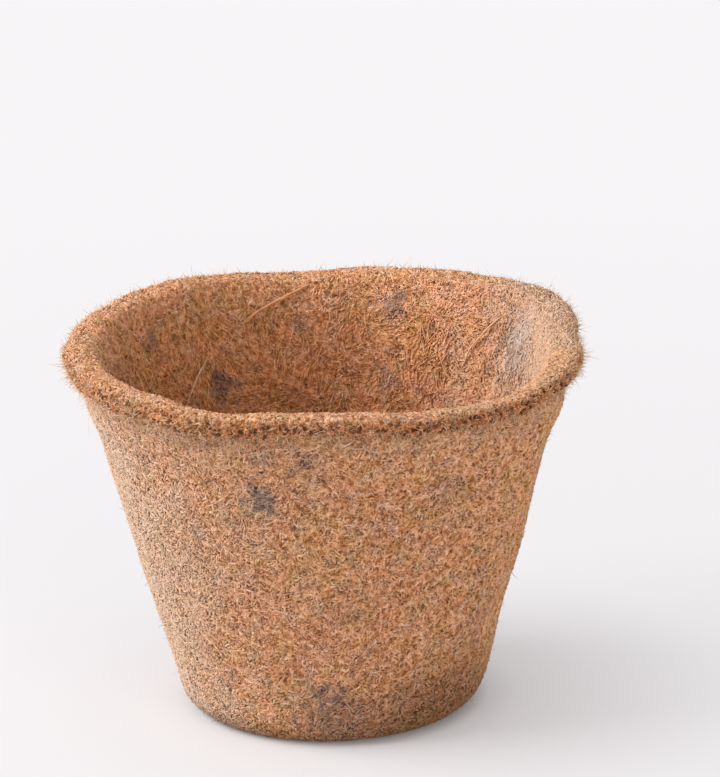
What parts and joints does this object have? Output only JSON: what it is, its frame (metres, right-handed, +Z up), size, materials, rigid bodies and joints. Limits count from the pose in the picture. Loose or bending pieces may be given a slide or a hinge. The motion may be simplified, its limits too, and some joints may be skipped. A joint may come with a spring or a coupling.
{
  "type": "coir plant pot",
  "caption": "Round tapered seedling pot of pressed coconut-fibre felt, open at the top with a soft turned-out lip and standing on a flat closed base.",
  "frame": {"origin": "centre of the flat underside, on the surface that the pot stands on", "axes": "+Z up along the pot's axis, towards the open mouth; -Y is the side seen first"},
  "size_m": [0.1, 0.1, 0.072],
  "materials": {
    "outer_coir": "matte",
    "inner_coir": "matte",
    "latex": "matte",
    "husk": "matte",
    "strand": "matte"
  },
  "bodies": {
    "root": {"outer_ply": "outer_coir", "latex_bond": "latex", "inner_ply": "inner_coir", "husk_flecks_outside": "husk", "husk_flecks_inside": "husk", "stray_strands": "strand"}
  },
  "joints": []
}
